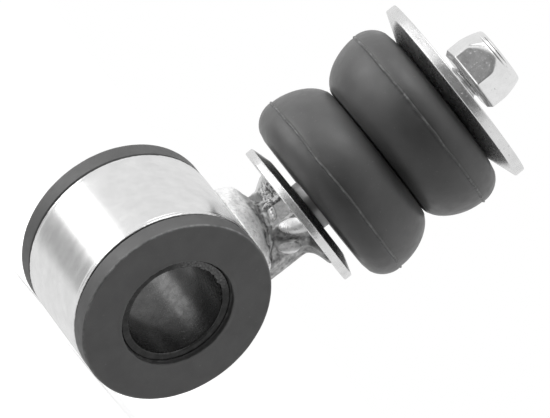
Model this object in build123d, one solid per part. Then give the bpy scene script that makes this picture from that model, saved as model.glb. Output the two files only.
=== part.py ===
from build123d import *
import math
import os

os.makedirs("parts", exist_ok=True)

# Stabilizer link, eye and stud type, in millimetres.
# The origin is the centre of the eye. The eye's bore runs along Y and the stud stands up along +Z.

# Driving sizes of the eye
ring_diameter = 52.6
ring_wall = 3.0
ring_width = 28.4
ring_edge_bevel = 0.6
eye_flange_step = 0.1
eye_flange_thickness = 5.3
eye_flange_rounding = 0.5
bore_diameter = 25.8
sleeve_wall = 2.1
sleeve_recess = 1.2
sleeve_edge_bevel = 0.5
bore_mouth_gap = 0.4
bore_mouth_depth = 2.4

# Driving sizes of the stud, whose hexagon stands just inside the eye's side
hex_side_inset = 0.6
stud_diameter = 10.0
stud_end_bevel = 1.0
stud_end_recess = 0.8
hex_across_flats = 17.0
hex_foot_angle = 31.9
hex_turn = 7.6
hex_bevel = 1.1
front_left_angle = 227.3

# Driving sizes of the two dished washers
lower_washer_diameter = 41.2
lower_washer_thickness = 2.3
lower_washer_dish = 1.7
lower_washer_flat_diameter = 30.0
neck_height = 11.9
upper_washer_diameter = 53.6
upper_washer_thickness = 2.9
upper_washer_dish = 3.0
upper_washer_flat_diameter = 37.0
washer_edge_rounding = 0.3

# Driving sizes of the moulded doughnut bushes and what they sit on
spacer_diameter = 13.6
spacer_wall = 1.7
spacer_bevel = 0.3
clamping_play = 6.0
bush_diameter = 53.8
bush_thickness = 20.8
bush_face_diameter = 40.6
bush_arm_face_diameter = 37.0
bush_crown_height = 7.4
bush_bore_rounding = 0.8
parting_rib_height = 0.3
parting_rib_width = 0.7
stack_lift = 2.0

# Driving sizes of the lock nut
nut_height = 11.1
nut_lift = 5.2
nut_corner_height = 5.7
nut_top_diameter = 15.6
nut_top_rounding = 0.8
nut_base_bevel = 1.3
nut_base_inset = 0.9
nut_mouth_bevel = 0.7
nut_turn = 14.5

# Driving sizes of the welds
mound_radius = 13.5
mound_height = 10.4
mound_sink = 2.3
mound_angle = 62.0
toe_bulge = 0.9
toe_angle = 13.0
tack_reach = 4.3
tack_hollow = 0.34
tack_angle = 104.0
front_tack_turn = 66.0
front_tack_height = 4.6
back_tack_turn = -90.0
back_tack_height = 7.4

# Named clearances
running_gap = 0.06
washer_fit_gap = 0.10
washer_gap = 0.5
rubber_gap = 0.3
seat_gap = 0.2
cut_past = 1.0

# Sizes that follow from the ones above
ring_radius = ring_diameter / 2
ring_bore_radius = ring_radius - ring_wall
eye_flange_radius = ring_radius - eye_flange_step
eye_half_width = ring_width / 2
eye_half_length = eye_half_width + eye_flange_thickness
bore_radius = bore_diameter / 2
sleeve_radius = bore_radius + sleeve_wall
sleeve_half_length = eye_half_length - sleeve_recess
stud_radius = stud_diameter / 2
hex_corner_radius = hex_across_flats / math.sqrt(3)
stud_offset = ring_radius - hex_side_inset - hex_across_flats / 2
lower_washer_height = ring_radius + neck_height
washer_seat = lower_washer_height + lower_washer_dish
hex_foot = ring_radius * math.sin(math.radians(hex_foot_angle))
hex_length = washer_seat - hex_foot
stack_floor = washer_seat + lower_washer_thickness
lower_bush_base = stack_floor + stack_lift
bush_joint = lower_bush_base + bush_thickness
upper_bush_base = bush_joint + seat_gap
upper_washer_seat = upper_bush_base + bush_thickness + seat_gap
nut_seat = upper_washer_seat + upper_washer_thickness + nut_lift
stud_top = nut_seat + nut_height - stud_end_recess
spacer_radius = spacer_diameter / 2
spacer_length = upper_washer_seat - stack_floor - clamping_play
bush_bore_radius = spacer_radius + rubber_gap


def on_stud(solid):
    """Move a solid made round the Z axis onto the stud's own axis."""
    return Pos(stud_offset, 0, 0) * solid


def turned_on_stud(outline):
    """Turn an outline of radius and height about the stud."""
    return on_stud(revolve(Plane.XZ * make_face(outline), Axis.Z))


def turned_on_eye(outline):
    """Turn an outline of radius and width about the eye's bore."""
    return revolve(make_face(outline), Axis.Y)


def hex_bar(length, base, turn=hex_turn):
    """A length of hexagon bar on the stud's axis, with one corner towards the front left."""
    corner_angle = front_left_angle + turn
    section = RegularPolygon(hex_corner_radius, 6, major_radius=True, rotation=corner_angle)
    return on_stud(Pos(0, 0, base) * extrude(section, length))


def ring_blank():
    """The full outside of the eye ring, used to cope whatever is welded to it."""
    return Rot(90, 0, 0) * Cylinder(ring_radius, 4 * ring_width)


# The eye

def make_eye_ring():
    inner = ring_bore_radius
    half = eye_half_width
    outline = Polyline(
        (inner, -half),
        (ring_radius - ring_edge_bevel, -half),
        (ring_radius, -half + ring_edge_bevel),
        (ring_radius, half - ring_edge_bevel),
        (ring_radius - ring_edge_bevel, half),
        (inner, half),
        close=True,
    )
    return turned_on_eye(outline)


def make_eye_bush():
    inner = sleeve_radius + running_gap
    mouth = sleeve_radius + bore_mouth_gap
    flange = eye_flange_radius
    outline = Polyline(
        (inner, 0),
        (inner, eye_half_length - bore_mouth_depth),
        (mouth, eye_half_length - bore_mouth_depth + bore_mouth_gap),
        (mouth, eye_half_length),
        (flange, eye_half_length),
        (flange, eye_half_width),
        (ring_bore_radius, eye_half_width),
        (ring_bore_radius, 0),
        close=True,
    )
    half = make_face(outline)
    lip = half.vertices().sort_by(lambda v: v.X + v.Y)[-1]
    half = fillet(lip, eye_flange_rounding)
    section = half + mirror(half, Plane.XZ)
    return revolve(section, Axis.Y)


def make_inner_sleeve():
    half = sleeve_half_length
    bevel = sleeve_edge_bevel
    outline = Polyline(
        (bore_radius, -half + bevel),
        (bore_radius + bevel, -half),
        (sleeve_radius - bevel / 2, -half),
        (sleeve_radius, -half + bevel / 2),
        (sleeve_radius, half - bevel / 2),
        (sleeve_radius - bevel / 2, half),
        (bore_radius + bevel, half),
        (bore_radius, half - bevel),
        close=True,
    )
    return turned_on_eye(outline)


# The stud and the welds that hold it

def hex_turning_envelope():
    """The turned shape that bevels the corners of the hexagon under the washer."""
    outline = Polyline(
        (0, hex_foot),
        (hex_corner_radius + cut_past, hex_foot),
        (hex_corner_radius + cut_past, washer_seat - hex_bevel),
        (hex_corner_radius, washer_seat - hex_bevel),
        (hex_across_flats / 2, washer_seat),
        (0, washer_seat),
        close=True,
    )
    return turned_on_stud(outline)


def make_stud():
    root = hex_bar(hex_length, hex_foot) & hex_turning_envelope()
    root = root - ring_blank()
    shank = Polyline(
        (0, washer_seat - cut_past),
        (stud_radius, washer_seat - cut_past),
        (stud_radius, stud_top - stud_end_bevel),
        (stud_radius - stud_end_bevel, stud_top),
        (0, stud_top),
        close=True,
    )
    return root + turned_on_stud(shank)


def weld_mound():
    """A low mound of weld metal standing on the eye ring round the foot of the hexagon."""
    crown = EllipticalCenterArc((0, 0), mound_radius, mound_height, start_angle=-90, arc_size=180)
    half = make_face([crown, Line(crown @ 1, crown @ 0)])
    mound = revolve(Plane.XZ * half, Axis.Z)
    return Rot(0, 90 - mound_angle, 0) * Pos(0, 0, ring_radius - mound_sink) * mound


def make_saddle_weld():
    """The broad fillet between the crest of the eye and the hexagon."""
    weld = weld_mound() - ring_blank() - hex_bar(hex_length, hex_foot)
    return max(weld.solids(), key=lambda s: s.volume)


def make_toe_weld():
    """The small fillet that fills the wedge under the overhanging side of the hexagon."""
    contact = math.sqrt(ring_radius ** 2 - hex_foot ** 2)
    low_x = ring_radius * math.cos(math.radians(toe_angle))
    low_z = ring_radius * math.sin(math.radians(toe_angle))
    middle = math.radians((toe_angle + math.degrees(math.asin(hex_foot / ring_radius))) / 2)
    on_ring = (ring_radius * math.cos(middle), ring_radius * math.sin(middle))
    outer = stud_offset + hex_across_flats / 2
    face = make_face([
        Line((contact, hex_foot), (outer, hex_foot)),
        ThreePointArc((outer, hex_foot), (outer + toe_bulge, (hex_foot + low_z) / 2), (low_x, low_z)),
        ThreePointArc((low_x, low_z), on_ring, (contact, hex_foot)),
    ])
    weld = extrude(Plane.XZ * face, hex_across_flats / 2, both=True)
    rounding = Pos(stud_offset, 0, hex_foot) * Cylinder(hex_across_flats / 2 + toe_bulge, hex_length)
    weld = (weld & rounding) - weld_mound()
    return max(weld.solids(), key=lambda s: s.volume)


def tack_collar(height):
    """A hollow fillet of weld metal part of the way round the hexagon, under the lower washer."""
    inner = hex_across_flats / 2 - cut_past
    outer = hex_corner_radius + tack_reach
    rim_level = lower_washer_height
    foot_level = rim_level - height
    face = make_face([
        Line((inner, rim_level), (outer, rim_level)),
        ThreePointArc(
            (outer, rim_level),
            (hex_corner_radius + tack_hollow * tack_reach, rim_level - tack_hollow * height),
            (hex_corner_radius, foot_level),
        ),
        Line((hex_corner_radius, foot_level), (inner, foot_level)),
        Line((inner, foot_level), (inner, rim_level)),
    ])
    return revolve(Plane.XZ * face, Axis.Z, tack_angle)


def make_washer_tacks():
    """Two tack welds round the hexagon. The one at the back runs down into the saddle weld."""
    tacks = []
    for turn, height in ((front_tack_turn, front_tack_height), (back_tack_turn, back_tack_height)):
        start = front_left_angle + turn - tack_angle / 2
        tack = on_stud(Rot(0, 0, start) * tack_collar(height))
        tack = tack - hex_bar(hex_length, hex_foot) - make_lower_washer() - weld_mound()
        tacks.append(max(tack.solids(), key=lambda s: s.volume))
    return Compound(tacks)


# The dished washers

def dished_washer(diameter, thickness, dish, flat_diameter, bore_radius_here, centre, rim_up):
    """A pressed washer: a flat middle at height centre and a sloped rim, up or down."""
    rim = diameter / 2
    flat = flat_diameter / 2
    step = dish if rim_up else -dish
    outline = Polyline(
        (bore_radius_here, centre),
        (flat, centre),
        (rim, centre + step),
        (rim, centre + step + thickness),
        (flat, centre + thickness),
        (bore_radius_here, centre + thickness),
        close=True,
    )
    face = make_face(outline)
    corners = [v for v in face.vertices() if abs(v.X - rim) < 0.01]
    face = fillet(corners, washer_edge_rounding)
    return on_stud(revolve(Plane.XZ * face, Axis.Z))


def make_lower_washer():
    return dished_washer(
        lower_washer_diameter, lower_washer_thickness, lower_washer_dish,
        lower_washer_flat_diameter, stud_radius + washer_fit_gap, washer_seat, False,
    )


def make_upper_washer():
    return dished_washer(
        upper_washer_diameter, upper_washer_thickness, upper_washer_dish,
        upper_washer_flat_diameter, stud_radius + washer_gap, upper_washer_seat, True,
    )


# The spacer and the two doughnut bushes

def make_spacer():
    inner = spacer_radius - spacer_wall
    outer = spacer_radius
    base = stack_floor + running_gap
    top = base + spacer_length
    outline = Polyline(
        (inner, base),
        (outer - spacer_bevel, base),
        (outer, base + spacer_bevel),
        (outer, top - spacer_bevel),
        (outer - spacer_bevel, top),
        (inner, top),
        close=True,
    )
    return turned_on_stud(outline)


def bush_outline():
    """Half section of a moulded bush: washer face at height 0, arm face at bush_thickness."""
    crown = bush_diameter / 2
    face = bush_face_diameter / 2
    arm = bush_arm_face_diameter / 2
    rib = parting_rib_width / 2
    bore = bush_bore_radius
    bevel = bush_bore_rounding
    low = bush_crown_height - rib
    high = bush_crown_height + rib
    shoulder = crown - (crown - face) * (1 - math.sqrt(0.5))
    shoulder_height = low * (1 - math.sqrt(0.5))
    taper = crown - (crown - arm) * (1 - math.sqrt(0.5))
    taper_height = high + (bush_thickness - high) * math.sqrt(0.5)
    return make_face([
        Line((bore + bevel, 0), (face, 0)),
        ThreePointArc((face, 0), (shoulder, shoulder_height), (crown, low)),
        Line((crown, low), (crown + parting_rib_height, bush_crown_height)),
        Line((crown + parting_rib_height, bush_crown_height), (crown, high)),
        ThreePointArc((crown, high), (taper, taper_height), (arm, bush_thickness)),
        Line((arm, bush_thickness), (bore + bevel, bush_thickness)),
        Line((bore + bevel, bush_thickness), (bore, bush_thickness - bevel)),
        Line((bore, bush_thickness - bevel), (bore, bevel)),
        Line((bore, bevel), (bore + bevel, 0)),
    ])


def moulded_bush():
    return revolve(Plane.XZ * bush_outline(), Axis.Z)


def make_lower_bush():
    return on_stud(Pos(0, 0, lower_bush_base) * moulded_bush())


def make_upper_bush():
    turned_over = Rot(180, 0, 0) * moulded_bush()
    return on_stud(Pos(0, 0, upper_bush_base + bush_thickness) * turned_over)


# The lock nut

def nut_crown():
    """The turned shape that gives the nut its conical crown and the rounded rim on top."""
    outline = Polyline(
        (0, nut_seat),
        (hex_corner_radius + cut_past, nut_seat),
        (hex_corner_radius + cut_past, nut_seat + nut_corner_height),
        (hex_corner_radius, nut_seat + nut_corner_height),
        (nut_top_diameter / 2, nut_seat + nut_height),
        (0, nut_seat + nut_height),
        close=True,
    )
    face = make_face(outline)
    rim = face.vertices().sort_by_distance((nut_top_diameter / 2, nut_seat + nut_height))[0]
    return on_stud(revolve(Plane.XZ * fillet(rim, nut_top_rounding), Axis.Z))


def make_lock_nut():
    blank = hex_bar(nut_height, nut_seat, nut_turn)
    base_edges = blank.edges().group_by(Axis.Z)[0]
    base = blank.faces().sort_by(Axis.Z)[0]
    blank = chamfer(base_edges, nut_base_inset, nut_base_bevel, reference=base)
    hole = stud_radius + running_gap
    mouth = hole + nut_mouth_bevel
    bore = Polyline(
        (0, nut_seat - cut_past),
        (mouth, nut_seat - cut_past),
        (mouth, nut_seat),
        (hole, nut_seat + nut_mouth_bevel),
        (hole, nut_seat + nut_height - nut_mouth_bevel),
        (mouth, nut_seat + nut_height),
        (mouth, nut_seat + nut_height + cut_past),
        (0, nut_seat + nut_height + cut_past),
        close=True,
    )
    return (blank & nut_crown()) - turned_on_stud(bore)


pieces = {
    "eye_ring": make_eye_ring,
    "eye_bush": make_eye_bush,
    "inner_sleeve": make_inner_sleeve,
    "stud": make_stud,
    "saddle_weld": make_saddle_weld,
    "toe_weld": make_toe_weld,
    "washer_tacks": make_washer_tacks,
    "lower_washer": make_lower_washer,
    "spacer": make_spacer,
    "lower_bush": make_lower_bush,
    "upper_bush": make_upper_bush,
    "upper_washer": make_upper_washer,
    "lock_nut": make_lock_nut,
}

for name, make in pieces.items():
    export_step(make(), f"parts/{name}.step")
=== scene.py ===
import math

import bmesh
import bpy
from mathutils import Matrix, Vector, noise


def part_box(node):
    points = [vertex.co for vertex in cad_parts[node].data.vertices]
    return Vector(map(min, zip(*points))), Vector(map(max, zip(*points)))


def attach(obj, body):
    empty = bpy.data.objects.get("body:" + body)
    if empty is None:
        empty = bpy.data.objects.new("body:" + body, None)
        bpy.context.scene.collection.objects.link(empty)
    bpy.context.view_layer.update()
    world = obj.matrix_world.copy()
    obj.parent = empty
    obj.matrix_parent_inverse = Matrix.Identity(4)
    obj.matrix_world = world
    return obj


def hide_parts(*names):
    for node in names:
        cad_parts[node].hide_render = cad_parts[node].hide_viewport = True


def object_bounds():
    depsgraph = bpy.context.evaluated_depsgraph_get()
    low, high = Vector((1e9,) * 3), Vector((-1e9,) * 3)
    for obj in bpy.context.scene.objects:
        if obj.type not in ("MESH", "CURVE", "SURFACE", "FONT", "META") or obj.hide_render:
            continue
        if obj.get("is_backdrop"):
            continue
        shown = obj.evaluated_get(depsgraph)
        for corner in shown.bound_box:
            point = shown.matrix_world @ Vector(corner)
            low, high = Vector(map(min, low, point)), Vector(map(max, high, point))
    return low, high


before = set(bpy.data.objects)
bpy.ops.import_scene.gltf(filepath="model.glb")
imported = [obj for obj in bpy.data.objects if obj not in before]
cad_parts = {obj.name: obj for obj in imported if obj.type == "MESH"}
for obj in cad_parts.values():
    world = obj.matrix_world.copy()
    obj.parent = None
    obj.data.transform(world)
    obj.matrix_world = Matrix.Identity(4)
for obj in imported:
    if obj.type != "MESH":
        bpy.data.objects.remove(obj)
cad_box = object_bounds()

# The part's lengths are in millimetres, and become metres where a mesh is made.
MM = 0.001


def box_mm(node):
    low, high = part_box(node)
    return low / MM, high / MM


# Sizes read from the frame
ring_radius, ring_half, _ = box_mm("eye_ring")[1]
flange_radius, eye_half, _ = box_mm("eye_bush")[1]
sleeve_radius, sleeve_half, _ = box_mm("inner_sleeve")[1]
stud_top = box_mm("stud")[1].z
low_washer_top = box_mm("lower_washer")[1].z
up_washer_seat = box_mm("upper_washer")[0].z
spacer_low, spacer_high = box_mm("spacer")
spacer_radius = (spacer_high.x - spacer_low.x) / 2
stud_offset = (spacer_low.x + spacer_high.x) / 2
low_bush_low, low_bush_high = box_mm("lower_bush")
bush_thickness = low_bush_high.z - low_bush_low.z
nut_low, nut_high = box_mm("lock_nut")
nut_seat = nut_low.z
nut_top = nut_high.z

# Sizes of the eye that its boxes don't give
ring_wall = 3.0
ring_edge = 0.6
ring_inner_edge = 0.15
bore_radius = 12.9
sleeve_edge = 0.5
sleeve_outer_edge = 0.25
sleeve_gap = 0.06
mouth_gap = 0.4
mouth_depth = 0.45
mouth_edge = 0.25
flange_edge = 0.5
flange_bevel = 0.5

# Sizes of the stud and its thread
hex_across_flats = 17.0
hex_flat_radius = hex_across_flats / 2
hex_corner_radius = hex_across_flats / math.sqrt(3)
hex_worn_radius = hex_corner_radius - 0.65
hex_foot = 13.9
hex_bevel = 1.1
hex_corner_angle = math.radians(234.9)
foot_sink = 0.4
thread_radius = 5.0
thread_depth = 0.92
thread_pitch = 1.5
thread_start = 78.0
thread_end_bevel = 1.0

# Sizes of the nut. Its creases are given by height over the seat and depth.
nut_corner_angle = math.radians(241.8)
nut_corner_height = 5.5
nut_top_radius = 7.8
nut_top_rounding = 0.8
nut_base_bevel = 1.3
nut_base_inset = 0.9
nut_bore_radius = 5.06
nut_bore_bevel = 0.7
nut_cone_slope = (hex_corner_radius - nut_top_radius) / (nut_top - nut_seat - nut_corner_height)
nut_creases = [(9.5, 0.12), (10.35, 0.10)]
nut_crease_half_width = 0.12

# Sizes of the washers and the spacer
low_washer_flat = 15.0
low_washer_thickness = 2.3
low_washer_dish = 1.7
washer_seat = low_washer_top - low_washer_thickness
up_washer_flat = 18.5
up_washer_thickness = 2.9
up_washer_dish = 3.0
washer_edge = 0.35
washer_bend = 3.0
shank_gap = 0.1
up_washer_gap = 0.5

# Sizes of the bushes
bush_bore = 7.1
bush_bore_bevel = 0.8
bush_face = 20.3
bush_arm_face = 18.5
bush_crown = 26.9
crown_height = 7.4
rib_height = 0.3
rib_width = 0.8
mould_step = 0.16


# Mesh helpers

def finish_mesh(name, vertices, faces, material, body, replaced=(), sharp=35.0, marks_and_painted_light=None):
    """Make a smooth shaded piece from points in millimetres, and put it on its body.

    The share list gives each point a value from 0 to 1, which its material shows as heat tint, wear and
    rubber flash, and as painted shade and painted highlights.
    """
    mesh = bpy.data.meshes.new(name)
    mesh.from_pydata([Vector(v) * MM for v in vertices], [], faces)
    if marks_and_painted_light:
        mesh.attributes.new("marks_and_painted_light", "FLOAT", "POINT").data.foreach_set("value", marks_and_painted_light)
    shaped = bmesh.new()
    shaped.from_mesh(mesh)
    bmesh.ops.remove_doubles(shaped, verts=shaped.verts, dist=1e-7)
    bmesh.ops.dissolve_degenerate(shaped, dist=1e-7, edges=shaped.edges)
    bmesh.ops.recalc_face_normals(shaped, faces=shaped.faces)
    shaped.to_mesh(mesh)
    shaped.free()
    mesh.shade_smooth()
    mesh.set_sharp_from_angle(angle=math.radians(sharp))
    mesh.materials.append(material)
    piece = bpy.data.objects.new(name, mesh)
    bpy.context.scene.collection.objects.link(piece)
    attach(piece, body)
    if replaced:
        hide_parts(*replaced)
    return piece


def loop_faces(stations, points, closed_round=True):
    """Faces between neighbouring closed outlines, each a run of points."""
    faces = []
    last = stations if closed_round else stations - 1
    for i in range(last):
        here = i * points
        after = (i + 1) % stations * points
        for j in range(points):
            k = (j + 1) % points
            faces.append((here + j, after + j, after + k, here + k))
    return faces


def capped_faces(stations, points):
    """Faces between neighbouring outlines, and one across the first and the last outline."""
    faces = loop_faces(stations, points, closed_round=False)
    faces.append(tuple(range(points)))
    faces.append(tuple(range((stations - 1) * points, stations * points)))
    return faces


def rounded_outline(corners, step=0.5, arc_steps=5):
    """A closed outline through corners (radius, height, rounding), with its long runs divided."""
    rounded = []
    count = len(corners)
    for i, (x, y, rounding) in enumerate(corners):
        here = Vector((x, y))
        if rounding <= 0:
            rounded.append([here])
            continue
        back = (Vector(corners[i - 1][:2]) - here).normalized()
        ahead = (Vector(corners[(i + 1) % count][:2]) - here).normalized()
        half_angle = back.angle(ahead) / 2
        reach = rounding / math.tan(half_angle)
        middle = here + (back + ahead).normalized() * rounding / math.sin(half_angle)
        first = here + back * reach - middle
        last = here + ahead * reach - middle
        arc = []
        for n in range(arc_steps + 1):
            share = n / arc_steps
            arc.append(middle + (first.lerp(last, share)).normalized() * rounding)
        rounded.append(arc)
    outline = []
    for i, arc in enumerate(rounded):
        outline += arc
        start = arc[-1]
        end = rounded[(i + 1) % count][0]
        pieces = max(1, math.ceil((end - start).length / step))
        outline += [start.lerp(end, n / pieces) for n in range(1, pieces)]
    return [(p.x, p.y) for p in outline]


def fine_ends(outline, level):
    """The outline with one point in six kept where it is less than level from the middle."""
    return [point for i, point in enumerate(outline) if abs(point[1]) > level or i % 6 == 0]


def on_stud(angle, radius, height):
    return (stud_offset + radius * math.cos(angle), radius * math.sin(angle), height)


def on_eye(angle, radius, height):
    return (radius * math.cos(angle), height, radius * math.sin(angle))


def turned(outline, place, stations, form=None):
    """Points and faces of an outline turned about an axis. form(angle, radius, height) may reshape it."""
    vertices = []
    for i in range(stations):
        angle = 2 * math.pi * i / stations
        for radius, height in outline:
            if form:
                radius, height = form(angle, radius, height)
            vertices.append(place(angle, radius, height))
    return vertices, loop_faces(stations, len(outline))


# Smooth functions

def ripple(point, size, octaves=3):
    """Smooth noise from about -1 to 1, with features of the given size in millimetres."""
    return noise.fractal(Vector(point) / size, 1.0, 2.0, octaves, noise_basis="PERLIN_ORIGINAL")


def clamped(value):
    return min(1.0, max(0.0, value))


def eased(value, low, high):
    """A smooth step from 0 at low to 1 at high."""
    share = clamped((value - low) / (high - low))
    return share * share * (3 - 2 * share)


def bell(value, middle, half_width):
    """1 at the middle, and a soft fall to 0 on both sides."""
    return math.exp(-((value - middle) / half_width) ** 2)


def lump(azimuth, height, middle, level, half_angle, half_height):
    """A soft round swelling, 1 at its middle. Angles are in degrees."""
    across = (azimuth - middle) / half_angle
    along = (height - level) / half_height
    return math.exp(-across * across - along * along)


def swelling(right, up, middle, half_width, half_height):
    """A rounded mound, 1 at its middle and 0 at its edge."""
    across = (right - middle[0]) / half_width
    rise = (up - middle[1]) / half_height
    return max(0.0, 1 - across * across - rise * rise)


def smooth_min(first, second, blend):
    """The smaller value, rounded off where the two differ by less than blend."""
    share = max(blend - abs(first - second), 0.0) / blend
    return min(first, second) - share * share * blend / 4


def between(stations, value):
    """The sizes at a value, smoothly between stations of (value, size, size, ...)."""
    for before, after in zip(stations, stations[1:]):
        if value <= after[0]:
            share = eased(value, before[0], after[0])
            return [a + (b - a) * share for a, b in zip(before[1:], after[1:])]
    return list(stations[-1][1:])


def curve_point(points, share):
    """A point on a smooth curve through the given points, share from 0 to 1."""
    spans = len(points) - 1
    i = min(int(share * spans), spans - 1)
    t = share * spans - i
    before = points[max(i - 1, 0)]
    here = points[i]
    after = points[i + 1]
    beyond = points[min(i + 2, spans)]
    return 0.5 * (
        2 * here + (after - before) * t
        + (2 * before - 5 * here + 4 * after - beyond) * t ** 2
        + (3 * here - before - 3 * after + beyond) * t ** 3
    )


# Material helpers

def add_node(tree, kind, inputs, **settings):
    """Add a node. inputs gives each of its inputs a number to hold or another node's output to follow."""
    node = tree.nodes.new(kind)
    for name, value in settings.items():
        setattr(node, name, value)
    for name, value in inputs.items():
        if isinstance(value, bpy.types.NodeSocket):
            tree.links.new(value, node.inputs[name])
        else:
            node.inputs[name].default_value = value
    return node


class Finish:
    """A material with a Principled shader, and short ways to add noise to it."""

    def __init__(self, name, colour, roughness, metallic):
        self.material = bpy.data.materials.new(name)
        self.material.use_nodes = True
        self.tree = self.material.node_tree
        self.shader = self.tree.nodes["Principled BSDF"]
        self.shader.inputs["Base Color"].default_value = (*colour, 1)
        self.shader.inputs["Roughness"].default_value = roughness
        self.shader.inputs["Metallic"].default_value = metallic
        self.place = self.tree.nodes.new("ShaderNodeTexCoord").outputs["Object"]
        self.normal = None

    def grain(self, per_mm, detail=4.0, roughness=0.55, stretch=(1, 1, 1), distortion=0.0):
        """Noise with about per_mm features to the millimetre, stretched along each axis."""
        scale = [s * per_mm / MM for s in stretch]
        mapping = add_node(self.tree, "ShaderNodeMapping", {"Vector": self.place, "Scale": scale})
        texture = add_node(self.tree, "ShaderNodeTexNoise", {
            "Vector": mapping.outputs["Vector"],
            "Scale": 1.0,
            "Detail": detail,
            "Roughness": roughness,
            "Distortion": distortion,
        })
        return texture.outputs["Fac"]

    def ramp(self, value, stops):
        """Turn a value into a level that changes between two stops of (position, level)."""
        ramp = add_node(self.tree, "ShaderNodeValToRGB", {"Fac": value})
        for element, (position, level) in zip(ramp.color_ramp.elements, stops):
            element.position = position
            element.color = (level, level, level, 1)
        return ramp.outputs["Color"]

    def cloud(self, low, high, *grain):
        """A level that drifts from low to high over the noise that grain describes."""
        return self.ramp(self.grain(*grain), [(0.3, low), (0.7, high)])

    def mix(self, blend_type, factor, first, second):
        inputs = {"Factor": factor, "A": first, "B": second}
        mix = add_node(self.tree, "ShaderNodeMix", inputs, data_type="RGBA", blend_type=blend_type)
        return mix.outputs["Result"]

    def multiply(self, first, second):
        return self.mix("MULTIPLY", 1.0, first, second)

    def blend(self, factor, first, second):
        """The first colour where factor is 0, the second where it is 1."""
        return self.mix("MIX", factor, first, second)

    def marks_and_painted_light(self):
        """The mesh's share of marks and painted light, 0 where it has none."""
        return add_node(self.tree, "ShaderNodeAttribute", {}, attribute_name="marks_and_painted_light").outputs["Fac"]

    def colour(self, output):
        self.tree.links.new(output, self.shader.inputs["Base Color"])

    def roughness(self, output):
        self.tree.links.new(output, self.shader.inputs["Roughness"])

    def bump(self, height, depth_mm):
        """Raise the surface by up to depth_mm where height is white. Bumps add up."""
        inputs = {"Distance": depth_mm * MM, "Height": height}
        if self.normal:
            inputs["Normal"] = self.normal
        self.normal = add_node(self.tree, "ShaderNodeBump", inputs).outputs["Normal"]
        self.tree.links.new(self.normal, self.shader.inputs["Normal"])


def rubber(name, level, roughness):
    """Moulded rubber, paler where the mark share is high: rubbed wear, with painted highlights on the eye's
    flange corners and the bushes' parting ribs.
    """
    finish = Finish(name, (level, level, level * 1.02), roughness, 0.0)
    finish.shader.inputs["Specular IOR Level"].default_value = 0.60
    cloud = finish.cloud(level * 0.86, level * 1.12, 0.12, 3.0)
    dust = finish.ramp(finish.grain(1.6, 2.0, 0.4), [(0.70, 1.0), (0.76, 1.5)])
    pale_wear_and_highlight = finish.ramp(finish.grain(0.9, 4.0, 0.6), [(0.35, level * 2.5), (0.65, level * 5.0)])
    finish.colour(finish.blend(finish.marks_and_painted_light(), finish.multiply(cloud, dust), pale_wear_and_highlight))
    finish.roughness(finish.cloud(roughness - 0.07, roughness + 0.07, 0.35, 4.0))
    finish.bump(finish.grain(0.35, 3.0), 0.03)
    finish.bump(finish.grain(5.0, 3.0, 0.6), 0.010)
    return finish.material


def zinc(name, level, roughness, grain_depth, stretch=(1, 1, 1), pits=0.0, dark_level=None):
    """Zinc plate with cloudy gloss, grain that may run one way, and sparse dull pits.

    roughness is that of the glossiest and the dullest places. The last argument is the colour
    where the mesh's mark share is full: painted shade on the ring and the nut, a darker tone on the stud.
    """
    glossiest, dullest = roughness
    finish = Finish(name, (level, level, level), glossiest, 1.0)
    cloud = finish.cloud(level * 0.93, min(1.0, level * 1.05), 0.25, 5.0, 0.6)
    pitted = finish.grain(1.7, 3.0, 0.65, distortion=0.6)
    colour = finish.multiply(cloud, finish.ramp(pitted, [(0.29, 1 - pits), (0.34, 1.0)]))
    if dark_level:
        colour = finish.blend(finish.marks_and_painted_light(), colour, finish.cloud(dark_level * 0.75, dark_level * 1.3, 1.4, 5.0, 0.6))
    finish.colour(colour)
    finish.roughness(finish.cloud(glossiest, dullest, 0.6, 5.0, 0.6, stretch))
    finish.bump(finish.grain(3.0, 4.0, 0.6, stretch), grain_depth)
    if pits:
        finish.bump(finish.ramp(pitted, [(0.28, 0.0), (0.35, 1.0)]), 0.06 * pits)
    return finish.material


def weld_metal():
    """Satin zinc over weld metal: bright and grainy on the crests, dark with heat tint and painted shade
    where the mark share is high.
    """
    finish = Finish("weld_zinc", (0.8, 0.8, 0.8), 0.40, 0.45)
    finish.shader.inputs["Specular IOR Level"].default_value = 0.3
    cloud = finish.ramp(finish.grain(1.6, 5.0, 0.65), [(0.32, 0.70), (0.46, 1.0)])
    dark_level = finish.cloud(0.09, 0.26, 1.4, 5.0, 0.6)
    finish.colour(finish.blend(finish.marks_and_painted_light(), cloud, dark_level))
    finish.roughness(finish.cloud(0.28, 0.50, 1.2, 5.0, 0.6))
    finish.bump(finish.grain(2.4, 2.0, 0.5), 0.030)
    finish.bump(finish.grain(5.0, 3.0, 0.6), 0.012)
    return finish.material


def dark_steel():
    """The sleeve's dark shiny bore, its ends darker still as painted shade of their recess, and paler rubber
    flash where the mark share is high.
    """
    finish = Finish("sleeve_steel", (0.12, 0.12, 0.12), 0.30, 0.85)
    bore = finish.cloud(0.08, 0.12, 0.3, 4.0)
    # The ends are painted darker than the bore, as the shade of their recess in the rubber.
    painted_shade_end = finish.ramp(finish.grain(0.5, 3.0, 0.5), [(0.35, 0.026), (0.65, 0.040)])
    flash = finish.ramp(finish.grain(1.8, 4.0, 0.65), [(0.35, 0.03), (0.65, 0.14)])
    end = finish.blend(finish.ramp(finish.marks_and_painted_light(), [(0.35, 0.0), (0.70, 1.0)]), painted_shade_end, flash)
    finish.colour(finish.blend(finish.ramp(finish.marks_and_painted_light(), [(0.0, 0.0), (0.2, 1.0)]), bore, end))
    finish.roughness(finish.cloud(0.20, 0.32, 0.8, 4.0))
    finish.bump(finish.grain(2.5, 3.0), 0.004)
    return finish.material


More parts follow.
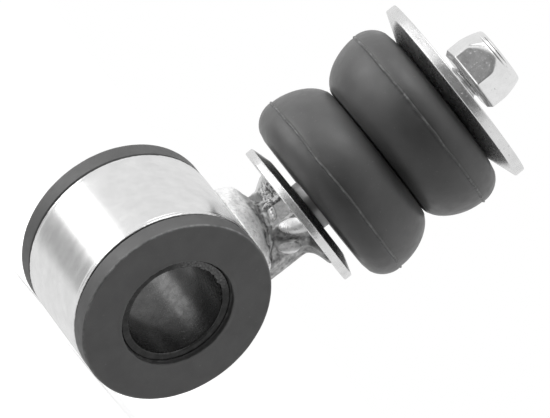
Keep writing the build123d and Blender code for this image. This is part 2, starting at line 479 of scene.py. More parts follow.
ring_zinc = zinc("ring_zinc", 0.86, (0.19, 0.26), grain_depth=0.0009, stretch=(0.12, 1.0, 0.12), dark_level=0.10)
stud_zinc = zinc("stud_zinc", 0.70, (0.26, 0.42), grain_depth=0.010, pits=0.10, dark_level=0.24)
weld_zinc = weld_metal()
washer_zinc = zinc("washer_zinc", 0.82, (0.20, 0.34), grain_depth=0.026, stretch=(0.5, 0.5, 1.2), pits=0.55)
spacer_zinc = zinc("spacer_zinc", 0.40, (0.34, 0.48), grain_depth=0.006, stretch=(0.15, 0.15, 1.0))
nut_zinc = zinc("nut_zinc", 0.90, (0.12, 0.22), grain_depth=0.0015, pits=0.25, dark_level=0.13)
eye_rubber = rubber("eye_rubber", level=0.083, roughness=0.52)
bush_rubber = rubber("bush_rubber", level=0.074, roughness=0.42)
sleeve_steel = dark_steel()


# The eye

def make_eye_ring():
    inner = ring_radius - ring_wall
    outline = rounded_outline([
        (inner, -ring_half, ring_inner_edge),
        (ring_radius, -ring_half, ring_edge),
        (ring_radius, ring_half, ring_edge),
        (inner, ring_half, ring_inner_edge),
    ], step=0.25)
    outline = fine_ends(outline, ring_half - 1.6)
    nick_depth = 0.16
    fine_nick_depth = 0.05
    line_depth = 0.12
    line_inset = 1.0
    line_half_width = 0.26

    def form(angle, radius, height):
        """Nicks along each lip, and a shallow turned line beside it."""
        point = on_eye(angle, radius, height)
        lip = eased(abs(height), ring_half - 0.9, ring_half - 0.2)
        nick = nick_depth * lip * abs(ripple(point, 1.1)) + fine_nick_depth * lip * abs(ripple(point, 0.4, 2))
        turned_line = line_depth * bell(abs(height) - ring_half, -line_inset, line_half_width)
        if radius > ring_radius - 1.0:
            radius -= nick + turned_line
        return radius, height

    vertices, faces = turned(outline, on_eye, stations=480, form=form)
    # The mark share paints shade at each end of the ring, in the crease where it meets the rubber flange.
    marks_and_painted_light = [eased(abs(y), ring_half - 0.30, ring_half - 0.12) for _, y, _ in vertices]
    finish_mesh("eye_ring_shell", vertices, faces, ring_zinc, "link", ["eye_ring"], marks_and_painted_light=marks_and_painted_light)


def make_eye_bush():
    inner = sleeve_radius + sleeve_gap
    mouth = sleeve_radius + mouth_gap
    groove = sleeve_half - mouth_depth
    ring_bore = ring_radius - ring_wall
    front = [
        (inner, -groove, 0.0),
        (mouth, -groove - mouth_gap, 0.0),
        (mouth, -eye_half, mouth_edge),
        (flange_radius, -eye_half, flange_edge),
        (flange_radius, -ring_half - flange_bevel, 0.2),
        (flange_radius - flange_bevel, -ring_half, 0.0),
        (ring_bore, -ring_half, 0.0),
    ]
    back = [(x, -y, rounding) for x, y, rounding in reversed(front)]
    outline = fine_ends(rounded_outline(front + back, step=0.4), ring_half - 0.6)

    def form(angle, radius, height):
        """Flanges that aren't quite even, and a ragged mouth round the sleeve."""
        point = on_eye(angle, radius, height)
        if abs(height) > ring_half + 0.2 and radius > mouth + 1:
            height -= math.copysign(0.05 + 0.05 * ripple(point, 9.0), height)
            radius -= 0.04 + 0.04 * ripple(point, 5.0)
        elif abs(height) > groove + 0.2 and radius < mouth + 0.6:
            radius += 0.10 * ripple(point, 2.0) + 0.20 * max(0.0, ripple(point, 1.4, 3))
        return radius, height

    vertices, faces = turned(outline, on_eye, stations=360, form=form)
    # A patchy paler line round each flange's outer corner: a painted highlight on its rounded edge.
    marks_and_painted_light = []
    pale_edge_inset = 0.15
    pale_edge_width = 0.28
    for point in vertices:
        x, y, z = point
        beside = math.hypot(x, z) - flange_radius + pale_edge_inset
        behind = abs(y) - eye_half + pale_edge_inset
        patchy = 0.50 + 0.50 * eased(ripple(point, 3.0, 2), -0.3, 0.3)
        marks_and_painted_light.append(bell(math.hypot(beside, behind), 0, pale_edge_width) * patchy)
    finish_mesh("eye_rubber_bush", vertices, faces, eye_rubber, "link", ["eye_bush"], marks_and_painted_light=marks_and_painted_light)


def make_inner_sleeve():
    outline = rounded_outline([
        (bore_radius, -sleeve_half, sleeve_edge),
        (sleeve_radius, -sleeve_half, sleeve_outer_edge),
        (sleeve_radius, sleeve_half, sleeve_outer_edge),
        (bore_radius, sleeve_half, sleeve_edge),
    ], step=0.35)
    outline = fine_ends(outline, sleeve_half - 3.0)
    flash_azimuth = 110
    flash_half_angle = 36
    flash_depth = 0.75

    def flash_at(point):
        """How heavy the rubber's flash is round the mouth, which is at the upper right in the photo."""
        return bell(math.degrees(math.atan2(point[2], point[0])), flash_azimuth, flash_half_angle)

    def form(angle, radius, height):
        point = on_eye(angle, radius, height)
        mouth = eased(abs(height), sleeve_half - 1.1, sleeve_half - 0.4)
        if radius < bore_radius + 0.9:
            hanging = flash_at(point) * max(0.0, 0.25 + ripple(point, 1.5, 2))
            radius += mouth * (0.05 * abs(ripple(point, 0.9, 2)) - flash_depth * hanging)
        return radius, height

    vertices, faces = turned(outline, on_eye, stations=480, form=form)
    # Both ends get the mark share for their painted shade, and most where the flash hangs, for its paler
    # rubber.
    marks_and_painted_light = []
    for point in vertices:
        flash = flash_at(point)
        ragged = (0.08 + 0.60 * flash) * ripple(point, 1.1, 2)
        inner = sleeve_half - 0.3 - flash
        marks_and_painted_light.append((0.2 + 0.8 * flash) * eased(abs(point[1]) + ragged, inner, inner + 0.3))
    finish_mesh(
        "inner_steel_sleeve", vertices, faces, sleeve_steel, "bar_sleeve", ["inner_sleeve"],
        marks_and_painted_light=marks_and_painted_light,
    )


# The stud

def hex_radius(angle, corner_angle):
    """Distance from the axis to the side of a hexagon that has a corner at corner_angle."""
    sector = math.pi / 3
    turn = (angle - corner_angle) % sector - sector / 2
    return hex_flat_radius / math.cos(turn)


def stud_side(angle):
    """Distance from the axis to the stud's hexagon, whose corners are worn."""
    return smooth_min(hex_radius(angle, hex_corner_angle), hex_worn_radius, 0.25)


def ring_under(angle, radius):
    """Height of the eye ring's outside under a place round the stud."""
    x = stud_offset + radius * math.cos(angle)
    return math.sqrt(max(ring_radius ** 2 - x ** 2, 0.0))


def foot_level(angle, radius):
    """Height of the hexagon's foot, which is coped to the ring and sunk a little into it."""
    return max(hex_foot, ring_under(angle, radius) - foot_sink)


def make_stud():
    stations = 360
    levels = 70
    inward = 10
    slope = (hex_corner_radius - hex_flat_radius) / hex_bevel
    vertices = []
    for i in range(stations):
        angle = 2 * math.pi * i / stations
        side = stud_side(angle)
        for n in range(inward):
            radius = side * n / inward
            vertices.append(on_stud(angle, radius, foot_level(angle, radius)))
        foot = foot_level(angle, side)
        for n in range(levels):
            height = foot + (washer_seat - foot) * n / (levels - 1)
            bevelled = hex_flat_radius + (washer_seat - height) * slope
            radius = smooth_min(side, bevelled, 0.15)
            radius -= 0.03 * abs(ripple(on_stud(angle, radius, height), 2.5))
            vertices.append(on_stud(angle, radius, height))
        for n in range(inward, -1, -1):
            vertices.append(on_stud(angle, hex_flat_radius * n / (inward + 1), washer_seat))
    faces = loop_faces(stations, len(vertices) // stations)
    marks_and_painted_light = [0.9] * len(vertices)
    finish_mesh("stud_hexagon", vertices, faces, stud_zinc, "link", ["stud"], marks_and_painted_light=marks_and_painted_light)


def thread_form(height, angle):
    """How far the thread's groove lies under its crest, from 0 to 1."""
    groove_half = 0.44
    flank = 0.32
    phase = (height / thread_pitch - angle / (2 * math.pi)) % 1.0
    return clamped((groove_half - abs(phase - 0.5)) / flank)


def make_shank():
    sunk = washer_seat - 1
    run_in_height = 2
    row_height = 0.09
    rows = int((stud_top - thread_start) / row_height)
    outline = [(0.0, sunk), (thread_radius, sunk)]
    for n in range(rows + 1):
        outline.append((thread_radius, thread_start + (stud_top - thread_start) * n / rows))
    outline.append((0.0, stud_top))

    def form(angle, radius, height):
        if radius > 0 and height > thread_start:
            run_in = min(1.0, (height - thread_start) / run_in_height)
            radius -= thread_depth * thread_form(height, angle) * run_in
            radius = min(radius, thread_radius - thread_end_bevel + max(0.0, stud_top - height))
        return radius, height

    vertices, faces = turned(outline, on_stud, stations=96, form=form)
    finish_mesh("stud_threaded_shank", vertices, faces, stud_zinc, "link")


# The welds

# Saddle weld, from the back of the stud round the eye's crest to the front:
# azimuth in degrees, the shoulder's radius and height, and the top on the hexagon
saddle_shape = [
    (62, 11.4, 22.0, 23.5),
    (100, 13.2, 27.4, 30.0),
    (135, 15.2, 30.8, 35.3),
    (163, 14.6, 30.6, 36.6),
    (185, 13.2, 30.5, 34.2),
    (211, 12.5, 29.6, 32.9),
    (234, 12.0, 28.0, 30.3),
    (252, 11.7, 26.2, 27.9),
    (298, 10.4, 15.6, 17.2),
]

# Pits in the saddle weld: depth, azimuth, height, half angle and half height
saddle_pits = [
    (0.5, 186, 31.9, 5, 0.6),
    (0.5, 160, 31.7, 5, 0.5),
    (0.5, 172, 32.2, 2.5, 0.4),
    (0.4, 179, 31.2, 2, 0.3),
]


def weld_toe(angle):
    """Distance from the stud's axis to the saddle weld's toe on the eye ring."""
    reach = 18.2
    nearest = 9.6
    side_margin = 2.0
    while reach > nearest:
        x, y, _ = on_stud(angle, reach, 0)
        if abs(y) < ring_half - ring_edge and x < ring_radius - side_margin:
            break
        reach -= 0.1
    return reach


def saddle_section(azimuth):
    """The saddle weld's outer corners from its toe to its top, and three corners inside the metal."""
    angle = math.radians(azimuth)
    shoulder_radius, shoulder_level, top = between(saddle_shape, azimuth)
    side = hex_radius(angle, hex_corner_angle)
    toe = weld_toe(angle)
    toe_level = ring_under(angle, toe)
    shoulder_radius = min(shoulder_radius, toe - 0.8)
    shoulder_level = max(shoulder_level, ring_under(angle, shoulder_radius) + 0.5)
    top = max(top, shoulder_level + 0.8)
    bulge = 0.72 - 0.14 * eased(azimuth, 155, 180)
    outside = [
        Vector((toe, toe_level - 0.5)),
        Vector((toe - 0.1, toe_level + 0.5)),
        Vector((toe + (shoulder_radius - toe) * 0.50, toe_level + (shoulder_level - toe_level) * bulge)),
        Vector((shoulder_radius, shoulder_level)),
        Vector((side + 0.9, shoulder_level + (top - shoulder_level) * 0.42)),
        Vector((side - 0.3, top)),
    ]
    sunk = side - 2.0
    inside = [(sunk, top - 1.0), (sunk, ring_under(angle, sunk) - 1.0), (toe, toe_level - 1.2)]
    return outside, inside


def saddle_skin(azimuth, share, point):
    """How far the saddle weld's skin is raised, and how dark it is painted at a share of the way up: heat
    tint, with painted shade at the toe and in the valley by the hexagon.
    """
    middle = math.sin(math.pi * share)
    valley = eased(share, 0.58, 0.70)
    top_bead = 0.88
    flow = ripple((azimuth / 24, share * 17, 3), 1.0, 2)
    lift = 0.30 * ripple(point, 3.4, 2) * middle
    lift += 0.10 * ripple(point, 0.9, 2) * middle
    for depth, *place_and_size in saddle_pits:
        lift -= depth * lump(azimuth, point[2], *place_and_size)
    lift += 0.10 * flow * valley * middle + 0.08 * bell(share, top_bead, 0.04)
    speckle = eased(ripple(point, 2.2, 3), -0.15, 0.35)
    # Painted shade at the toe on the ring, in the valley by the hexagon and where the weld meets its flat,
    # over heat tint and flow streaks; less on the top bead's crest.
    tint_and_shade = valley * (0.50 + 0.35 * speckle + 0.5 * flow) + 0.8 * (1 - eased(share, 0.08, 0.20))
    tint_and_shade += 0.20 * eased(ripple(point, 0.9, 3), 0.05, 0.35)
    tint_and_shade += 0.6 * eased(share, 0.92, 0.97) - 0.2 * bell(share, top_bead, 0.03)
    return lift, clamped(tint_and_shade)


def make_saddle_weld():
    first = saddle_shape[0][0]
    last = saddle_shape[-1][0]
    stations = 360
    rows = 90
    vertices = []
    marks_and_painted_light = []
    for i in range(stations):
        azimuth = first + (last - first) * i / (stations - 1)
        angle = math.radians(azimuth)
        outside, inside = saddle_section(azimuth)
        for j in range(rows):
            share = j / (rows - 1)
            radius, height = curve_point(outside, share)
            lift, mark_share = saddle_skin(azimuth, share, on_stud(angle, radius, height))
            vertices.append(on_stud(angle, radius + 0.75 * lift, height + 0.6 * lift))
            marks_and_painted_light.append(mark_share)
        for radius, height in inside:
            vertices.append(on_stud(angle, radius, height))
            marks_and_painted_light.append(0.0)
    faces = capped_faces(stations, len(vertices) // stations)
    finish_mesh(
        "saddle_weld_bead", vertices, faces, weld_zinc, "link", ["saddle_weld"],
        sharp=60, marks_and_painted_light=marks_and_painted_light,
    )


def weld_patch(name, first, last, floor_level, proud, replaced=()):
    """A weld laid on the hexagon's sides under the lower washer, from azimuth first to last.

    floor_level(azimuth) is its lower edge, and proud(azimuth, height) gives how far it
    stands off the hexagon and its mark share, which is heat tint and on the front tack also painted shade.
    """
    stations_per_degree = 2.8
    stations = int((last - first) * stations_per_degree)
    rows = 140
    top = washer_seat + 0.15
    run_out = 6
    thickest = 6.2
    sunk = 1.2
    vertices = []
    marks_and_painted_light = []
    for i in range(stations):
        azimuth = first + (last - first) * i / (stations - 1)
        angle = math.radians(azimuth)
        side = stud_side(angle)
        base = floor_level(azimuth)
        ends = eased(azimuth, first, first + run_out) * eased(last - azimuth, 0, run_out)
        for j in range(rows):
            height = base + (top - base) * j / (rows - 1)
            thickness, mark_share = proud(azimuth, height)
            thickness *= ends * eased(height, base, base + 0.8)
            thickness = smooth_min(thickness, thickest, 1.5) - 0.12 * (1 - ends)
            vertices.append(on_stud(angle, side + thickness, height))
            marks_and_painted_light.append(mark_share)
        for height in (top, base):
            vertices.append(on_stud(angle, side - sunk, height))
            marks_and_painted_light.append(0.0)
    faces = capped_faces(stations, len(vertices) // stations)
    finish_mesh(name, vertices, faces, weld_zinc, "link", replaced, sharp=60, marks_and_painted_light=marks_and_painted_light)


def saddle_top(azimuth):
    return between(saddle_shape, azimuth)[2]


def front_tack_floor(azimuth):
    """Over the saddle weld where there is one, then rising along the side away from the eye."""
    return max(saddle_top(min(azimuth, 275)) - 1.0, 23.0) + 9.5 * eased(azimuth, 285, 335)


def as_shown(azimuth, height):
    """Right and up of a place on the stud's front, from its middle, in the photo's directions."""
    front_azimuth = 227
    front_height = 36
    lean_cos = 0.785
    lean_sin = 0.62
    across = 11 * math.sin(math.radians(azimuth - front_azimuth))
    along = height - front_height
    return lean_cos * along + lean_sin * across, lean_sin * along - lean_cos * across


def tack_point(azimuth, height):
    """A place near a tack's skin, for its noise."""
    return on_stud(math.radians(azimuth), 10, height)


def front_tack(azimuth, height):
    """The heavy tack on the hexagon's front: a dome with frozen ripples over a lower swelling."""
    point = tack_point(azimuth, height)
    right, up = as_shown(azimuth, height)
    dome_middle = (1.6, -1.0)
    lower_middle = (0.6, -6.9)
    dome = swelling(right, up, dome_middle, 4.4, 2.3)
    lower = swelling(right, up, lower_middle, 3.4, 1.7)
    wedge = swelling(right, up, (1.6, -5.0), 1.3, 0.6)
    under = lump(right, up, 0.8, -4.4, 3.6, 0.6)
    spread = math.hypot(right - 1.6, up + 1.6)
    rings = math.sin(2 * math.pi * spread / 0.48) * eased(1.2 - right, 0.2, 1.4) * eased(dome, 0.0, 0.12)
    streaks = ripple((right / 6, up * 2.6, 1), 1.0, 2) * min(1.0, 2.0 * lower)
    flare = 5.2 * math.exp((height - 37.5) / (0.8 + 0.5 * eased(azimuth, 280, 300)))
    flare *= 0.05 + 0.95 * eased(azimuth, 262, 288)
    body = 9.5 - 1.2 * eased(azimuth, 268, 296)
    radius = body + (2.3 - 0.50 * (up - dome_middle[1])) * dome ** 0.7
    radius += (1.1 - 0.6 * (up - lower_middle[1])) * lower ** 0.8
    radius += 0.5 * wedge - 0.3 * under
    radius += 0.035 * rings + 0.05 * streaks + flare
    rough = 1 - eased(dome + lower, 0.05, 0.3)
    radius += rough * (0.22 * ripple(point, 2.6, 2) + 0.08 * ripple(point, 0.9, 2))
    thickness = -smooth_min(stud_side(math.radians(azimuth)) - radius, -0.04, 0.7)
    # Darker under and below the dome, where it flares into the washer, in the troughs of its ripples and
    # round it: painted shade over heat tint that varies at random. The dome and the lower swelling stay
    # clear.
    marks_and_painted_light = 0.70 + 0.6 * under + 0.25 * eased(flare, 0.2, 1.5) - 1.0 * eased(dome, 0.03, 0.25)
    marks_and_painted_light += 0.55 * eased(-up - 2.2 + 0.6 * ripple(point, 2.0), 0.0, 0.9) * eased(dome, 0.0, 0.2)
    marks_and_painted_light -= 0.8 * eased(lower, 0.05, 0.5) + 0.5 * wedge + 0.6 * min(rings, 0.0) + 0.3 * streaks
    return thickness, clamped(marks_and_painted_light + 0.35 * ripple(point, 1.4, 2) * rough)


def back_tack_floor(azimuth):
    return saddle_top(azimuth) - 2.4


def back_tack(azimuth, height):
    """The tack on the far side, which runs down into the saddle weld and ends in pitted spatter."""
    point = tack_point(azimuth, height)
    body = eased(azimuth, 88, 112) * (1 - eased(azimuth, 150, 176))
    thickness = body * (2.3 + 0.62 * max(0.0, height - 34.2))
    thickness += 0.35 + 0.25 * ripple(point, 2.2, 2)
    spatter = eased(azimuth, 146, 162)
    rough = ripple(point, 0.5, 2)
    thickness += spatter * 0.11 * rough
    return thickness, 0.45 + spatter * (0.15 + 0.40 * eased(-rough, -0.05, 0.25))


def make_washer_tacks():
    weld_patch("front_tack_weld", 216, 346, front_tack_floor, front_tack, ["washer_tacks"])
    weld_patch("back_tack_weld", 84, 190, back_tack_floor, back_tack)


def make_toe_weld():
    """The fillet under the far side of the hexagon, as a finer mesh with a rough skin."""
    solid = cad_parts["toe_weld"]
    fine = solid.modifiers.new("fine", "REMESH")
    fine.mode = "VOXEL"
    fine.voxel_size = 0.28 * MM
    mesh = bpy.data.meshes.new_from_object(solid.evaluated_get(bpy.context.evaluated_depsgraph_get()))
    solid.modifiers.remove(fine)
    place = solid.matrix_world
    turn = place.to_3x3()
    vertices = []
    for vertex in mesh.vertices:
        point = place @ vertex.co / MM
        dent = 0.06 + 0.30 * abs(ripple(point, 1.6)) + 0.10 * abs(ripple(point, 0.7, 2))
        vertices.append(point - (turn @ vertex.normal).normalized() * dent)
    faces = [tuple(face.vertices) for face in mesh.polygons]
    marks_and_painted_light = [eased(ripple(point, 1.3), -0.1, 0.4) * 0.7 for point in vertices]
    finish_mesh(
        "toe_weld_fillet", vertices, faces, weld_zinc, "link", ["toe_weld"],
        sharp=60, marks_and_painted_light=marks_and_painted_light,
    )


def spatter_blob(azimuth, height):
    """A run of spatter that froze on the flat side over the saddle weld."""
    point = tack_point(azimuth, height)
    middle = 34.9 - 0.052 * (azimuth - 184)
    run = math.exp(-((azimuth - 198) / 11) ** 4 - ((height - middle) / 0.75) ** 2)
    pit = lump(azimuth, height, 193, 34.7, 1.6, 0.25)
    thickness = run * (0.85 + 0.30 * ripple(point, 1.3, 2)) - 0.3 * pit - 0.10 + 0.06 * ripple(point, 0.7, 2)
    # Painted shade in its pit, and darker round the run.
    return thickness, min(1.0, 0.8 * pit + 0.9 * (1 - eased(run, 0.10, 0.35)))


def blob_floor(azimuth):
    return saddle_top(azimuth) - 1.0


# The washers and the spacer

def make_washer(name, node, body, stations, seat, flat, thickness, dish, bore, bore_edge):
    """A pressed washer whose rim stands over its flat middle by dish, with an uneven sheared edge."""
    low, high = box_mm(node)
    rim = (high.x - low.x) / 2
    edge_width = 0.8
    nick_depth = 0.05
    outline = rounded_outline([
        (bore, seat, bore_edge),
        (flat, seat, washer_bend),
        (rim, seat + dish, washer_edge),
        (rim, seat + dish + thickness, washer_edge),
        (flat, seat + thickness, washer_bend),
        (bore, seat + thickness, bore_edge),
    ], step=0.7)

    def form(angle, radius, height):
        edge = max(0.0, 1 - (rim - radius) / edge_width)
        return radius - edge * nick_depth * abs(ripple(on_stud(angle, radius, height), 0.9)), height

    vertices, faces = turned(outline, on_stud, stations, form)
    finish_mesh(name, vertices, faces, washer_zinc, body, [node])


def make_lower_washer():
    make_washer(
        "lower_dished_washer", "lower_washer", "link", stations=360,
        seat=washer_seat, flat=low_washer_flat, thickness=low_washer_thickness,
        dish=-low_washer_dish, bore=thread_radius + shank_gap, bore_edge=0.0,
    )


def make_upper_washer():
    make_washer(
        "upper_dished_washer", "upper_washer", "upper_washer", stations=400,
        seat=up_washer_seat, flat=up_washer_flat, thickness=up_washer_thickness,
        dish=up_washer_dish, bore=thread_radius + up_washer_gap, bore_edge=0.3,
    )


def make_spacer():
    bore = thread_radius + shank_gap
    outline = rounded_outline([
        (bore, spacer_low.z, 0.2),
        (spacer_radius, spacer_low.z, 0.3),
        (spacer_radius, spacer_high.z, 0.3),
        (bore, spacer_high.z, 0.2),
    ], step=1.5)
    vertices, faces = turned(outline, on_stud, stations=160)
    finish_mesh("spacer_tube", vertices, faces, spacer_zinc, "spacer", ["spacer"])


# The doughnut bushes

def bush_side():
    """The outer side of a moulded bush, from its washer face at height 0 to its arm face."""
    lower_steps = 22
    rib_steps = 8
    upper_steps = 34
    lower_power = 2.0
    upper_power = 1.85
    rib_bottom = crown_height - rib_width / 2
    rib_top = crown_height + rib_width / 2
    side = []
    for n in range(lower_steps + 1):
        share = math.sin(math.pi / 2 * n / lower_steps)
        fullness = (1 - (1 - share) ** lower_power) ** (1 / lower_power)
        side.append((bush_face + (bush_crown - bush_face) * fullness, rib_bottom * share))
    for n in range(rib_steps + 1):
        share = -1 + 2 * n / rib_steps
        lift = rib_height * (1 - share * share)
        side.append((bush_crown + lift, crown_height + share * rib_width / 2))
    for n in range(upper_steps + 1):
        share = math.sin(math.pi / 2 * n / upper_steps)
        fullness = max(0.0, 1 - share ** upper_power) ** (1 / upper_power)
        height = rib_top + (bush_thickness - rib_top) * share
        side.append((bush_arm_face + (bush_crown - bush_arm_face) * fullness, height))
    return side


def moulded_bush(seed):
    """The outline of a bush that stands at height 0, and the form that makes its moulding uneven."""
    outline = bush_side() + [
        (bush_bore + bush_bore_bevel, bush_thickness),
        (bush_bore, bush_thickness - bush_bore_bevel),
        (bush_bore, bush_bore_bevel),
        (bush_bore + bush_bore_bevel, 0.0),
    ]

    def form(angle, radius, height):
        """A worn parting rib, a step between the mould's halves, a wavy parting line and soft dents."""
        if radius > bush_face:
            point = (radius * math.cos(angle), radius * math.sin(angle), height + 60 * seed)
            wander = ripple((angle * 9, seed * 7, 0), 1.0) + 0.8 * ripple((angle * 45, seed * 3, 0), 1.0, 2)
            radius -= bell(height, crown_height, 0.5) * min(0.34, max(0.0, 0.14 + 0.22 * wander))
            radius -= mould_step * eased(height, crown_height - 0.1, crown_height + 0.3)
            near = bell(height, crown_height, 2.5)
            height += 0.28 * near * ripple((angle * 2.0, seed * 5, 4), 1.0, 3)
            radius -= 0.05 + 0.05 * ripple(point, 11.0)
        return radius, height

    return outline, form


def make_bush(name, node, body, seed, turned_over):
    low, high = box_mm(node)
    outline, form = moulded_bush(seed)

    def place(angle, radius, height):
        level = high.z - height if turned_over else low.z + height
        return on_stud(angle, radius, level)

    vertices, faces = turned(outline, place, stations=420, form=form)
    # Paler patches on the parting rib's crest: scuffs, with a painted highlight along the rib.
    marks_and_painted_light = []
    for x, y, z in vertices:
        radius = math.hypot(x - stud_offset, y)
        line = eased(radius, bush_crown - 0.05, bush_crown + 0.10)
        marks_and_painted_light.append(0.4 * line * eased(ripple((x, y, z), 2.0, 2), -0.2, 0.3))
    finish_mesh(name, vertices, faces, bush_rubber, body, [node], marks_and_painted_light=marks_and_painted_light)


# The lock nut

def nut_cone(height):
    """The cone's radius at a height over the nut's seat."""
    return hex_corner_radius - (height - nut_corner_height) * nut_cone_slope


def nut_radius(angle, height):
    """The nut's side at a height over its seat: a bevelled hexagon under a cone with a rounded rim."""
    side = hex_radius(angle, nut_corner_angle)
    bevelled = side * (1 - nut_base_inset / hex_flat_radius * (1 - height / nut_base_bevel))
    radius = smooth_min(smooth_min(side, hex_corner_radius - 0.08, 0.16), bevelled, 0.18)
    radius = smooth_min(radius, nut_cone(height), 0.45)
    for level, depth in nut_creases:
        radius -= depth * bell(height, level, nut_crease_half_width)
    above = height - (nut_top - nut_seat - nut_top_rounding)
    if above > 0:
        radius -= nut_top_rounding - math.sqrt(max(nut_top_rounding ** 2 - above ** 2, 0.0))
    return radius


def nut_painted_shade(angle, height):
    """Painted shade on the nut: its base bevel, its creases on the side toward the camera, and one fold
    between a flat and the cone.
    """
    azimuth = math.degrees(angle)
    bevel = 1 - eased(height, nut_base_bevel - 0.25, nut_base_bevel - 0.05)
    streaks = 0.80 + 0.5 * ripple((angle * 2, height * 5, 0), 1.0, 2)
    # The creases are painted dark only on the side toward the camera.
    shown = eased(azimuth, 172, 184) * (1 - eased(azimuth, 226, 244))
    creases = sum(bell(height, level, nut_crease_half_width) for level, _ in nut_creases)
    fold = bell(nut_cone(height) - hex_radius(angle, nut_corner_angle), -0.12, 0.07)
    fold *= eased(azimuth, 179, 184) * (1 - eased(azimuth, 196, 206))
    return min(1.0, bevel * streaks + shown * creases + 0.8 * fold)


def make_lock_nut():
    tall = nut_top - nut_seat
    mouth = nut_bore_radius + nut_bore_bevel
    stations = 480
    levels = 200
    vertices = []
    marks_and_painted_light = []
    for i in range(stations):
        angle = 2 * math.pi * i / stations
        vertices.append(on_stud(angle, mouth, nut_seat))
        marks_and_painted_light.append(0.0)
        for n in range(levels):
            height = tall * (1 - math.cos(math.pi * n / (levels - 1))) / 2
            vertices.append(on_stud(angle, nut_radius(angle, height), nut_seat + height))
            marks_and_painted_light.append(nut_painted_shade(angle, height))
        vertices.append(on_stud(angle, mouth + 0.3, nut_top))
        vertices.append(on_stud(angle, mouth, nut_top - 0.05))
        vertices.append(on_stud(angle, nut_bore_radius, nut_top - nut_bore_bevel))
        vertices.append(on_stud(angle, nut_bore_radius, nut_seat + nut_bore_bevel))
        marks_and_painted_light += [0.0] * 4
    faces = loop_faces(stations, len(vertices) // stations)
    finish_mesh("lock_nut_body", vertices, faces, nut_zinc, "lock_nut", ["lock_nut"], marks_and_painted_light=marks_and_painted_light)


make_eye_ring()
make_eye_bush()
make_inner_sleeve()
make_stud()
make_shank()
make_saddle_weld()
make_washer_tacks()
weld_patch("spatter_blob", 184, 214, blob_floor, spatter_blob)
make_lower_washer()
make_upper_washer()
make_spacer()
make_bush("lower_rubber_bush", "lower_bush", "lower_bush", 1, False)
make_bush("upper_rubber_bush", "upper_bush", "upper_bush", 2, True)
make_lock_nut()
make_toe_weld()


# The camera, at the photograph's angle and distance

camera_place = Vector((-1014.73, -1105.01, 24.38)) * MM
camera_forward = Vector((0.6802, 0.7330, 0.0074)).normalized()
camera_up = Vector((-0.5781, 0.5301, 0.6203))
camera_right = camera_forward.cross(camera_up).normalized()
photo_width = 550
focal_pixels = 5910


def make_camera():
    data = bpy.data.cameras.new("camera")
    data.sensor_width = 36.0
    data.lens = focal_pixels / photo_width * data.sensor_width
    camera = bpy.data.objects.new("camera", data)
    turn = Matrix((camera_right, camera_right.cross(camera_forward), -camera_forward)).transposed()
    camera.matrix_world = Matrix.Translation(camera_place) @ turn.to_4x4()
    bpy.context.scene.collection.objects.link(camera)
    bpy.context.scene.camera = camera


make_camera()


# The light. Lamp sizes and distances are in metres.

lamp_target = Vector((10, 0, 40)) * MM
lamp_distance = 1.0


def to_part(left, up, near):
    """A direction given as the photograph shows it, in the part's frame."""
    return (camera_right * -left + camera_up * up - camera_forward * near).normalized()


def around(azimuth, elevation):
    """A direction in the part's frame, from its azimuth and elevation in degrees."""
    turn = math.radians(azimuth)
    rise = math.radians(elevation)
    return Vector((math.cos(turn) * math.cos(rise), math.sin(turn) * math.cos(rise), math.sin(rise)))


def softbox(name, direction, width, height, power, mirrored):
    """A soft lamp that either metal mirrors or matte surfaces take their light from."""
    data = bpy.data.lights.new(name, "AREA")
    data.shape = "RECTANGLE"
    data.size = width
    data.size_y = height
    data.energy = power
    lamp = bpy.data.objects.new(name, data)
    lamp.location = lamp_target + direction * lamp_distance
    lamp.rotation_euler = direction.to_track_quat("Z", "Y").to_euler()
    lamp.visible_glossy = mirrored
    lamp.visible_diffuse = not mirrored
    bpy.context.scene.collection.objects.link(lamp)


softbox("key_softbox", to_part(0.72, 0.70, -0.05), width=0.60, height=0.60, power=10.2, mirrored=False)
softbox("top_softbox", to_part(-0.34, 0.84, 0.30), width=0.50, height=0.50, power=5.6, mirrored=False)
softbox("edge_softbox", to_part(-0.75, -0.55, -0.30), width=0.60, height=0.60, power=4.3, mirrored=False)
softbox("strip_glint", around(155, -14), width=1.15, height=0.48, power=2.6, mirrored=True)
softbox("top_glint", around(172, 42), width=0.80, height=0.50, power=1.9, mirrored=True)


# The world and the floor

# What metal mirrors is a white studio with soft round patches. Each has its direction,
# its inner and outer half angle in degrees, and its change of level.
studio_level = 0.84
studio_patches = [
    (to_part(0.93, 0.22, -0.30), 5, 17, -0.42),
    (around(229, -2), 33, 43, -0.62),
    (around(240, 0), 4, 16, -0.06),
    (around(138, 2), 6, 26, 0.06),
]
ambient_level = 0.21
floor_colour = (0.85, 0.85, 0.85, 1)


def maths(tree, operation, first, second):
    return add_node(tree, "ShaderNodeMath", {0: first, 1: second}, operation=operation).outputs["Value"]


def smooth_range(tree, value, source, target):
    """Go smoothly over the target range while value goes over the source range."""
    inputs = {
        "Value": value,
        "From Min": source[0],
        "From Max": source[1],
        "To Min": target[0],
        "To Max": target[1],
    }
    return add_node(tree, "ShaderNodeMapRange", inputs, interpolation_type="SMOOTHSTEP").outputs["Result"]


def mix_shaders(tree, factor, first, second):
    return add_node(tree, "ShaderNodeMixShader", {0: factor, 1: first, 2: second}).outputs["Shader"]


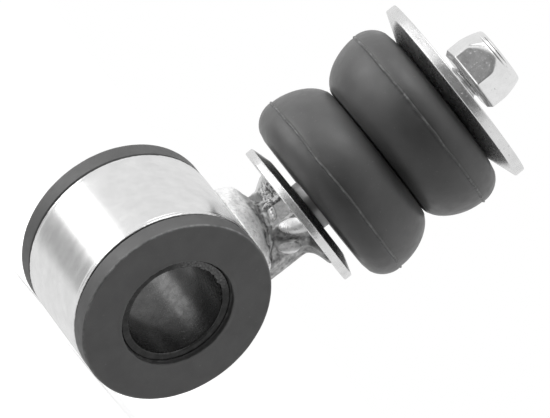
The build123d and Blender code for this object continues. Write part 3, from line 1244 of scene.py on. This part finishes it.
def make_world():
    """Even dim light, the studio for what metal mirrors, and plain white for the camera."""
    world = bpy.data.worlds.new("studio")
    bpy.context.scene.world = world
    world.use_nodes = True
    tree = world.node_tree
    tree.nodes.clear()
    rays = tree.nodes.new("ShaderNodeLightPath").outputs
    direction = tree.nodes.new("ShaderNodeTexCoord").outputs["Generated"]

    def background(strength):
        white = {"Color": (1, 1, 1, 1), "Strength": strength}
        return add_node(tree, "ShaderNodeBackground", white).outputs["Background"]

    studio = studio_level
    for centre, inner, outer, change in studio_patches:
        dot = add_node(tree, "ShaderNodeVectorMath", {0: direction, 1: centre}, operation="DOT_PRODUCT")
        edges = (math.cos(math.radians(outer)), math.cos(math.radians(inner)))
        studio = maths(tree, "ADD", studio, smooth_range(tree, dot.outputs["Value"], edges, (0.0, change)))
    by_gloss = mix_shaders(tree, rays["Is Glossy Ray"], background(ambient_level), background(studio))
    seen = maths(tree, "MAXIMUM", rays["Is Camera Ray"], rays["Is Transmission Ray"])
    by_camera = mix_shaders(tree, seen, by_gloss, background(1.0))
    add_node(tree, "ShaderNodeOutputWorld", {"Surface": by_camera})


def floor_white():
    """Pale and matte, with a glow that no diffuse ray meets and that grows away from the part."""
    material = bpy.data.materials.new("floor_white")
    material.use_nodes = True
    tree = material.node_tree
    tree.nodes.clear()
    rays = tree.nodes.new("ShaderNodeLightPath").outputs
    place = tree.nodes.new("ShaderNodeTexCoord").outputs["Object"]
    distance = add_node(tree, "ShaderNodeVectorMath", {0: place}, operation="LENGTH").outputs["Value"]
    glow_distances = (60 * MM, 200 * MM)
    glow_levels = (0.62, 0.86)
    strength = smooth_range(tree, distance, glow_distances, glow_levels)
    dark = add_node(tree, "ShaderNodeEmission", {"Strength": 0.0}).outputs["Emission"]
    glow = add_node(tree, "ShaderNodeEmission", {"Strength": strength}).outputs["Emission"]
    seen = maths(tree, "MAXIMUM", rays["Is Camera Ray"], rays["Is Glossy Ray"])
    seen = maths(tree, "MAXIMUM", seen, rays["Is Transmission Ray"])
    diffuse = add_node(tree, "ShaderNodeBsdfDiffuse", {"Color": floor_colour}).outputs["BSDF"]
    both = add_node(tree, "ShaderNodeAddShader", {0: diffuse, 1: mix_shaders(tree, seen, dark, glow)})
    add_node(tree, "ShaderNodeOutputMaterial", {"Surface": both.outputs["Shader"]})
    return material


def make_floor():
    """A wide floor under the eye, in metres. It lights nothing, and metal mirrors the studio instead."""
    half_width = 40.0
    height = -ring_radius * MM
    mesh = bpy.data.meshes.new("floor")
    corners = [(x * half_width, y * half_width, height) for x, y in ((-1, -1), (1, -1), (1, 1), (-1, 1))]
    mesh.from_pydata(corners, [], [(0, 1, 2, 3)])
    floor = bpy.data.objects.new("floor", mesh)
    bpy.context.scene.collection.objects.link(floor)
    floor.visible_diffuse = False
    floor.visible_glossy = False
    floor.visible_shadow = False
    floor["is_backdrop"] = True
    mesh.materials.append(floor_white())


make_world()
make_floor()

bpy.context.scene.view_settings.view_transform = "Standard"

boxes = {"cad": cad_box, "visual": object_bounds()}
{name: [list(corner) for corner in box] for name, box in boxes.items()}
